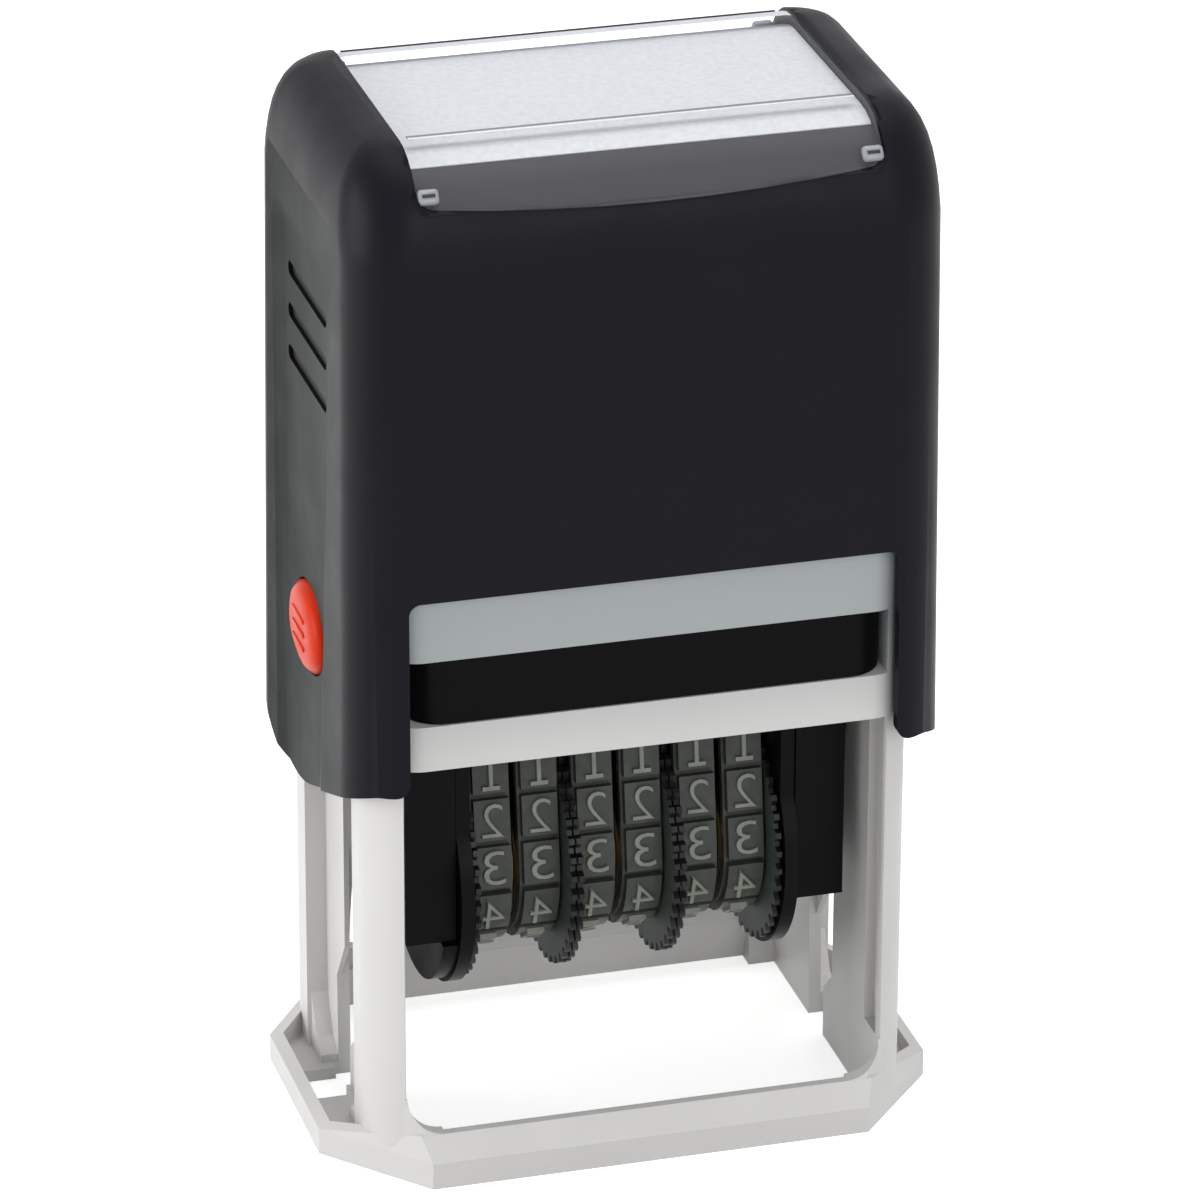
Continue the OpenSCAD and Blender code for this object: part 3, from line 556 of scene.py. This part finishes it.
class STAMP_OT_cover_shell(bpy.types.Operator):
    """Shows the cover as a smooth satin shell with greyer side panels, painted paler towards the
    front
    """

    bl_idname = "stamp.cover_shell"
    bl_label = "Cover shell"

    def execute(self, context):
        c = colours()
        z = sizes()
        satin = plastic(
            "satin black cover",
            c.cover,
            rough=0.42,
            grain=900,
            relief=0.16,
            spread=0.05,
            dark=0.9,
            specular_ior_level=0.09,
        )
        panel = plastic(
            "textured side panel",
            c.panel,
            rough=0.55,
            grain=900,
            relief=0.35,
            spread=0.06,
            dark=0.85,
            specular_ior_level=0.05,
        )
        # painted light: the side panel runs from a darker copy of its colour at the back to a paler
        # copy at the front
        lit_front_y = -12 * MM
        painted_light_share = panel.along("Y", z.panel_half, lit_front_y)
        panel.tint(panel.mix(painted_light_share, shade(c.panel, 0.45), shade(c.panel, 2.3)))
        shell = smoothed_shell("cover", "cover", satin, angle=32)
        shell.data.materials.append(panel.material)
        panel_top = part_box("cover")[1].z - z.panel_drop
        for face in shell.data.polygons:
            middle = face.center
            outer = abs(face.normal.x) > SQUARE_ON and abs(middle.x) > z.panel_x
            if outer and abs(middle.y) < z.panel_half and middle.z < panel_top:
                face.material_index = 1
        clear = clear_plastic("clear window", clearness=0.05)
        window = smoothed_shell(
            "index_window", "cover", clear, angle=32, thinner=0.03 * MM
        )
        # thick clear plastic lifts the card's rear edge to the crest of the shoulder
        lifted = plastic(
            "card seen through the window",
            c.card,
            rough=0.6,
            grain=600,
            relief=0.04,
            specular_ior_level=0.05,
        )
        window.data.materials.append(lifted.material)
        for face in window.data.polygons:
            if face.normal.z > SQUARE_ON and face.center.y > z.crease_y:
                face.material_index = 1
        return {"FINISHED"}


def slim_bar(bm, spot, size, turn=None, edge=0.1 * MM, segments=2):
    """Adds a bar with rounded edges to a bmesh."""
    block = bmesh.new()
    bmesh.ops.create_cube(block, size=1)
    bmesh.ops.scale(block, verts=block.verts, vec=size)
    bmesh.ops.bevel(
        block, geom=block.edges, offset=edge, offset_type="OFFSET", segments=segments,
        profile=0.5, affect="EDGES", material=-1,
    )
    bmesh.ops.recalc_face_normals(block, faces=block.faces)
    if turn:
        bmesh.ops.transform(block, matrix=turn, verts=block.verts)
    bmesh.ops.translate(block, verts=block.verts, vec=spot)
    mesh = bpy.data.meshes.new("bar")
    block.to_mesh(mesh)
    block.free()
    bm.from_mesh(mesh)
    bpy.data.meshes.remove(mesh)


def on_surface(obj, aim):
    """The point of an object's surface that is nearest to a spot, and its normal."""
    found, spot, normal, face = obj.closest_point_on_mesh(aim)
    need(found, f"{obj.name} has no surface near {tuple(aim)}")
    return spot, normal


class STAMP_OT_window_trim(bpy.types.Operator):
    """Adds the front crease as a painted highlight strip beside a painted shadow strip, the rear
    rim, and the four snap catches of the window, drawn pale for their glint, with painted shadow in
    their slots
    """

    bl_idname = "stamp.window_trim"
    bl_label = "Window trim"

    def execute(self, context):
        c = colours()
        z = sizes()
        window = bpy.data.objects["index_window_shell"]
        low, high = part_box("index_window")
        # painted highlight: opaque pale grey for the glint of the clear catches
        clasp = plastic(
            "clear catch plastic", c.clasp, rough=0.16, grain=400, relief=0.05, spread=0.05, dark=0.9
        )
        # painted shadow: a near-black bar on each catch for the shade in its slot; the rear rim is
        # drawn in the same finish
        shadow = plastic("catch slot", shade(c.cover, 1.2), 0.5)
        # painted highlight: a strip paler than the card, raised beside the crease
        crease = plastic("crease highlight", shade(c.card, 1.1), 0.2)
        # painted shadow: a dark strip for the shade in the crease
        crease_shadow_finish = plastic("crease shadow", shade(c.card, 0.28), 0.4)
        highlight_strip, shadow_strip, catches, slot_shadows, rim = (bmesh.new() for _ in range(5))
        span = high.x - low.x - 2 * z.crease_margin
        # the rear rim runs along the rear edge of the card as seen through the window
        crest = max(
            window.data.vertices[i].co.y
            for face in window.data.polygons
            if face.material_index == 1
            for i in face.vertices
        )
        for bm, y, wide, tall in (
            (shadow_strip, -z.crease_y, z.crease_width, 0.1 * MM),
            (highlight_strip, -z.crease_y - z.crease_width, 0.35 * MM, 0.12 * MM),
            (rim, crest, 0.5 * MM, 0.3 * MM),
        ):
            spot, normal = on_surface(window, Vector((0, y, high.z)))
            lie = normal.to_track_quat("Z", "Y").to_matrix().to_4x4()
            slim_bar(bm, spot, (span, wide, tall), lie, 0.03 * MM)
        catch_size = (z.catch_length, z.catch_width, z.catch_height)
        slot_size = Vector((0.35, 1.2, 0.3)) * MM
        slot_rise = 0.36 * MM
        for front in SIDES:
            for side in SIDES:
                aim = Vector((side * z.catch_x, front * z.catch_y, z.catch_z))
                spot, normal = on_surface(window, aim)
                turn = normal.to_track_quat("Z", "X").to_matrix().to_4x4()
                slim_bar(catches, spot, catch_size, turn, 0.42 * MM, 4)
                slim_bar(slot_shadows, spot + normal * slot_rise, slot_size, turn, 0.06 * MM)
        finished("window_highlight_strip", highlight_strip, "cover", crease, smooth=40)
        finished("window_shadow_strip", shadow_strip, "cover", crease_shadow_finish, smooth=40)
        finished("window_rim", rim, "cover", shadow, smooth=40)
        finished("window_catches", catches, "cover", clasp, smooth=40)
        finished("window_catch_slot_shadows", slot_shadows, "cover", shadow, smooth=40)
        return {"FINISHED"}


class STAMP_OT_pad_corners(bpy.types.Operator):
    """Squares up the corners of the pad cartridge"""

    bl_idname = "stamp.pad_corners"
    bl_label = "Pad corners"

    def execute(self, context):
        z = sizes()
        low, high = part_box("ink_tray")
        # the wall stands proud of the solid by half of this, so that the two don't flicker
        proud = Vector((0.04, 0.04, 0.02)) * MM
        bm = bmesh.new()
        bmesh.ops.create_cube(bm, size=1)
        bmesh.ops.scale(bm, verts=bm.verts, vec=high - low + proud)
        bmesh.ops.translate(bm, verts=bm.verts, vec=(low + high) / 2)
        upright = [e for e in bm.edges if abs((e.verts[0].co - e.verts[1].co).z) > z.pad_wall]
        bmesh.ops.bevel(
            bm, geom=upright, offset=z.pad_corner, offset_type="OFFSET", segments=8,
            profile=0.5, affect="EDGES", material=-1,
        )
        ends = [f for f in bm.faces if abs(f.normal.z) > SQUARE_ON]
        bmesh.ops.delete(bm, geom=ends, context="FACES")
        bmesh.ops.recalc_face_normals(bm, faces=bm.faces)
        bmesh.ops.solidify(bm, geom=bm.faces[:], thickness=z.pad_wall)
        bmesh.ops.recalc_face_normals(bm, faces=bm.faces)
        pad = pad_plastic("pad corner plastic")
        finished("pad_wall", bm, "ink_pad", pad, smooth=30)
        return {"FINISHED"}


class STAMP_OT_rear_lip(bpy.types.Operator):
    """Raises the lip along the top of the rear bar"""

    bl_idname = "stamp.rear_lip"
    bl_label = "Rear bar lip"

    def execute(self, context):
        z = sizes()
        low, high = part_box("ink_tray")
        overlap = 0.2 * MM
        leg_gap = high.x - low.x + 0.56 * MM
        bm = bmesh.new()
        slim_bar(
            bm,
            Vector((0, z.bar_y, z.bar_top + z.bar_rise / 2)),
            (leg_gap, z.bar_lip, z.bar_rise + overlap),
            edge=0.2 * MM,
        )
        pale = frame_plastic("rear lip plastic")
        finished("rear_bar_lip", bm, "frame", pale, smooth=30)
        return {"FINISHED"}


class STAMP_OT_lock_buttons(bpy.types.Operator):
    """Finishes the lock buttons and raises the grip ribs on them"""

    bl_idname = "stamp.lock_buttons"
    bl_label = "Lock buttons"

    def execute(self, context):
        z = sizes()
        orange = plastic(
            "orange button",
            colours().button,
            rough=0.32,
            grain=600,
            relief=0.06,
            spread=0.04,
            dark=0.93,
            specular_ior_level=0.08,
        )
        sunk = 0.1 * MM
        for side, word in zip(SIDES, ("left", "right")):
            node = f"lock_button_{word}"
            smoothed_shell(node, f"button_{word}", orange, angle=40)
            low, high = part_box(node)
            face = high.x if side > 0 else low.x
            middle = (low + high) / 2
            bm = bmesh.new()
            for step in (-1, 0, 1):
                rib = bmesh.ops.create_cube(bm, size=1)["verts"]
                bmesh.ops.scale(bm, verts=rib, vec=(z.rib_width, z.rib_length, z.rib_width))
                spot = (face - side * sunk, middle.y, middle.z + step * z.rib_pitch)
                bmesh.ops.translate(bm, verts=rib, vec=spot)
            bmesh.ops.bevel(
                bm, geom=bm.edges, offset=0.15 * MM, offset_type="OFFSET", segments=2,
                profile=0.5, affect="EDGES", material=-1,
            )
            finished(f"button_ribs_{word}", bm, f"button_{word}", orange, smooth=40)
        return {"FINISHED"}


class STAMP_OT_band_numerals(bpy.types.Operator):
    """Raises the mirrored numerals on the six number bands"""

    bl_idname = "stamp.band_numerals"
    bl_label = "Band numerals"

    def execute(self, context):
        c = colours()
        z = sizes()
        # painted highlight: the numerals' finish is much paler than the band rubber, for the light
        # on their raised faces, with rubbed spots of wear
        wear_and_highlight = rubber("rubbed numeral rubber", c.numeral, shade(c.numeral, 1.2))
        shapes = [numeral_mesh(digit) for digit in range(10)]
        whole = band_length()
        pitch = whole / z.block_count
        for i in NUMBER_WORKS:
            low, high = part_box(f"number_band_{i}")
            middle = (low.x + high.x) / 2
            bm = bmesh.new()
            for digit, shape in enumerate(shapes):
                # the numerals 0 to 9 go down the front and up the back, past two blank blocks
                s = (digit + 2) * pitch
                back = s > whole / 2
                y, up, angle = band_place(whole - s if back else s)
                side = 1 if back else -1
                outward = Vector((0, side * math.cos(angle), math.sin(angle)))
                upward = Vector((0, math.sin(angle), -side * math.cos(angle)))
                spot = Vector((middle, side * y, z.pivot_height + up))
                place = Matrix(
                    (upward.cross(outward), upward, outward)
                ).transposed().to_4x4()
                place.translation = spot
                start = len(bm.verts)
                bm.from_mesh(shape)
                bm.verts.ensure_lookup_table()
                bmesh.ops.transform(bm, matrix=place, verts=bm.verts[start:])
            bmesh.ops.recalc_face_normals(bm, faces=bm.faces)
            finished(f"band_numerals_{i}", bm, "carriage", wear_and_highlight, smooth=35)
        for shape in shapes:
            bpy.data.meshes.remove(shape)
        return {"FINISHED"}


class STAMP_OT_coil_spring(bpy.types.Operator):
    """Winds the return spring at the length of the solid; the real spring shortens as the cover goes
    down
    """

    bl_idname = "stamp.coil_spring"
    bl_label = "Return spring"

    def execute(self, context):
        z = sizes()
        low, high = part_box("return_spring")
        wire = z.wire_diameter
        held = high.z - low.z
        steps_per_turn = 36
        free_turns = z.spring_turns - 2
        free_rise = held - 3 * wire
        bm = bmesh.new()
        start = Matrix.Translation((z.spring_diameter / 2, 0, low.z + wire / 2)) @ Matrix.Rotation(
            math.pi / 2, 4, "X"
        )
        bmesh.ops.create_circle(bm, segments=12, radius=wire / 2, matrix=start)
        loop = bm.edges[:]
        bmesh.ops.holes_fill(bm, edges=loop)
        # the end turns lie flat, each a wire's height up, so that the spring can stand
        for turns, climb in ((1, wire), (free_turns, free_rise), (1, wire)):
            steps = round(turns * steps_per_turn)
            spun = bmesh.ops.spin(
                bm,
                geom=loop,
                cent=(0, 0, 0),
                axis=UPRIGHT,
                dvec=(0, 0, climb / steps),
                angle=2 * math.pi * turns,
                steps=steps,
                use_merge=False,
            )
            loop = [g for g in spun["geom_last"] if isinstance(g, bmesh.types.BMEdge)]
        bmesh.ops.holes_fill(bm, edges=loop)
        bmesh.ops.remove_doubles(bm, verts=bm.verts, dist=0.001 * MM)
        bmesh.ops.recalc_face_normals(bm, faces=bm.faces)
        steel = metal("spring steel", colours().steel, 0.24, (1, 1, 0.2))
        spring = finished("coil_spring", bm, "frame", steel, smooth=50)
        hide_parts("return_spring")
        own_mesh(spring)
        return {"FINISHED"}


# ---------------------------------------------------------------- stage

# name, place, side of the square in metres, power in watts
SOFTBOXES = (
    ("left softbox", (-0.55, 0.04, 0.12), 0.4, 2.3),
    ("top softbox", (0.05, 0.05, 0.75), 0.6, 2.7),
    ("front softbox", (0.1, -0.75, 0.35), 0.5, 2.3),
)
LAMP_AIM = Vector((0, 0, 0.05))
FLOOR_HALF = 3
FLOOR_COLOUR = (0.82, 0.82, 0.81, 1)
# light that the floor and the room add for the rays that show the background
FLOOR_GLOW = 0.65
ROOM_GLOW = 1.0
# light of the room on the machine
ROOM_LIGHT = 0.42

# the camera's turns in degrees, its distance, and its aim beside and over the middle
CAMERA_TURNS = (15.901, 24.425, 0.231)
CAMERA_DISTANCE = 697.8 * MM
MIDDLE = Vector((0, 0, 50 * MM))
AIM_ACROSS = 0.21 * MM
AIM_UP = -1.03 * MM
SENSOR_WIDTH = 36
FOCAL_LENGTH = 225.894


def background_rays(nodes, links):
    """1 for the rays that show the background: straight ones, glossy ones and clear ones."""
    rays = nodes.new("ShaderNodeLightPath")
    shown = rays.outputs["Is Camera Ray"]
    for kind in ("Is Glossy Ray", "Is Transmission Ray"):
        either = nodes.new("ShaderNodeMath")
        either.operation = "MAXIMUM"
        links.new(shown, either.inputs[0])
        links.new(rays.outputs[kind], either.inputs[1])
        shown = either.outputs[0]
    return shown


def white_finish():
    """Matt white that glows for the rays that show the background and keeps a shadow."""
    white = bpy.data.materials.new("white floor")
    white.use_nodes = True
    nodes, links = white.node_tree.nodes, white.node_tree.links
    nodes.clear()
    output = nodes.new("ShaderNodeOutputMaterial")
    matt = nodes.new("ShaderNodeBsdfDiffuse")
    matt.inputs["Color"].default_value = FLOOR_COLOUR
    strength = nodes.new("ShaderNodeMath")
    strength.operation = "MULTIPLY"
    strength.inputs[1].default_value = FLOOR_GLOW
    links.new(background_rays(nodes, links), strength.inputs[0])
    glow = nodes.new("ShaderNodeEmission")
    links.new(strength.outputs[0], glow.inputs["Strength"])
    both = nodes.new("ShaderNodeAddShader")
    links.new(matt.outputs[0], both.inputs[0])
    links.new(glow.outputs[0], both.inputs[1])
    links.new(both.outputs[0], output.inputs["Surface"])
    return white


def lay_floor(scene):
    bm = bmesh.new()
    bmesh.ops.create_grid(bm, x_segments=1, y_segments=1, size=FLOOR_HALF)
    mesh = bpy.data.meshes.new("floor")
    bm.to_mesh(mesh)
    bm.free()
    mesh.materials.append(white_finish())
    floor = bpy.data.objects.new("floor", mesh)
    scene.collection.objects.link(floor)


def paint_room(scene):
    """A white room, whose light on the machine is lower than what the camera sees."""
    world = bpy.data.worlds.new("soft white room")
    scene.world = world
    world.use_nodes = True
    nodes, links = world.node_tree.nodes, world.node_tree.links
    nodes.clear()
    output = nodes.new("ShaderNodeOutputWorld")
    sky = nodes.new("ShaderNodeBackground")
    sky.inputs["Color"].default_value = (1, 1, 1, 1)
    level = nodes.new("ShaderNodeMapRange")
    level.inputs["To Min"].default_value = ROOM_LIGHT
    level.inputs["To Max"].default_value = ROOM_GLOW
    links.new(background_rays(nodes, links), level.inputs["Value"])
    links.new(level.outputs["Result"], sky.inputs["Strength"])
    links.new(sky.outputs[0], output.inputs["Surface"])


def hang_softboxes(scene):
    for name, spot, size, power in SOFTBOXES:
        light = bpy.data.lights.new(name, "AREA")
        light.shape = "SQUARE"
        light.size = size
        light.energy = power
        lamp = bpy.data.objects.new(name, light)
        scene.collection.objects.link(lamp)
        lamp.location = spot
        aim = LAMP_AIM - Vector(spot)
        lamp.rotation_euler = aim.to_track_quat("-Z", "Y").to_euler()


def place_camera(scene):
    azimuth, elevation, roll = map(math.radians, CAMERA_TURNS)
    right = Vector((math.cos(azimuth), -math.sin(azimuth), 0))
    level = Vector((math.sin(azimuth), math.cos(azimuth), 0))
    ahead = level * math.cos(elevation) - UPRIGHT * math.sin(elevation)
    up = right.cross(ahead)
    lens = bpy.data.cameras.new("camera")
    lens.sensor_fit = "HORIZONTAL"
    lens.sensor_width = SENSOR_WIDTH
    lens.lens = FOCAL_LENGTH
    lens.clip_start = 0.01
    lens.clip_end = 20
    camera = bpy.data.objects.new("camera", lens)
    scene.collection.objects.link(camera)
    across = right * math.cos(roll) + up * math.sin(roll)
    upward = up * math.cos(roll) - right * math.sin(roll)
    turn = Matrix((across, upward, -ahead)).transposed().to_4x4()
    aim = MIDDLE + right * AIM_ACROSS + up * AIM_UP
    turn.translation = aim - ahead * CAMERA_DISTANCE
    camera.matrix_world = turn
    scene.camera = camera


class STAMP_OT_stage(bpy.types.Operator):
    """Sets the pale floor, the white room, the lamps and the camera"""

    bl_idname = "stamp.stage"
    bl_label = "Stage"

    def execute(self, context):
        lay_floor(context.scene)
        paint_room(context.scene)
        hang_softboxes(context.scene)
        place_camera(context.scene)
        context.scene.view_settings.view_transform = "Standard"
        return {"FINISHED"}


class STAMP_PT_pieces(bpy.types.Panel):
    """Lists the steps that dress the machine, with their sizes and colours"""

    bl_label = "Numbering machine"
    bl_idname = "STAMP_PT_pieces"
    bl_space_type = "VIEW_3D"
    bl_region_type = "UI"
    bl_category = "Numbering machine"

    def draw(self, context):
        layout = self.layout
        for step in STEPS:
            layout.operator(step.bl_idname)
        for group in (context.scene.stamp_sizes, context.scene.stamp_colours):
            box = layout.box()
            for name in group.__annotations__:
                box.prop(group, name)


STEPS = (
    STAMP_OT_finish_solids,
    STAMP_OT_cover_shell,
    STAMP_OT_window_trim,
    STAMP_OT_pad_corners,
    STAMP_OT_rear_lip,
    STAMP_OT_lock_buttons,
    STAMP_OT_band_numerals,
    STAMP_OT_coil_spring,
    STAMP_OT_stage,
)
CLASSES = (StampColours, StampSizes, *STEPS, STAMP_PT_pieces)


def register():
    for cls in CLASSES:
        bpy.utils.register_class(cls)
    bpy.types.Scene.stamp_sizes = PointerProperty(type=StampSizes)
    bpy.types.Scene.stamp_colours = PointerProperty(type=StampColours)


def unregister():
    del bpy.types.Scene.stamp_colours
    del bpy.types.Scene.stamp_sizes
    for cls in reversed(CLASSES):
        bpy.utils.unregister_class(cls)


def main():
    register()
    bpy.ops.stamp.finish_solids()
    bpy.ops.stamp.cover_shell()
    bpy.ops.stamp.window_trim()
    bpy.ops.stamp.pad_corners()
    bpy.ops.stamp.rear_lip()
    bpy.ops.stamp.lock_buttons()
    bpy.ops.stamp.band_numerals()
    bpy.ops.stamp.coil_spring()
    bpy.ops.stamp.stage()


if __name__ == "__main__":
    main()
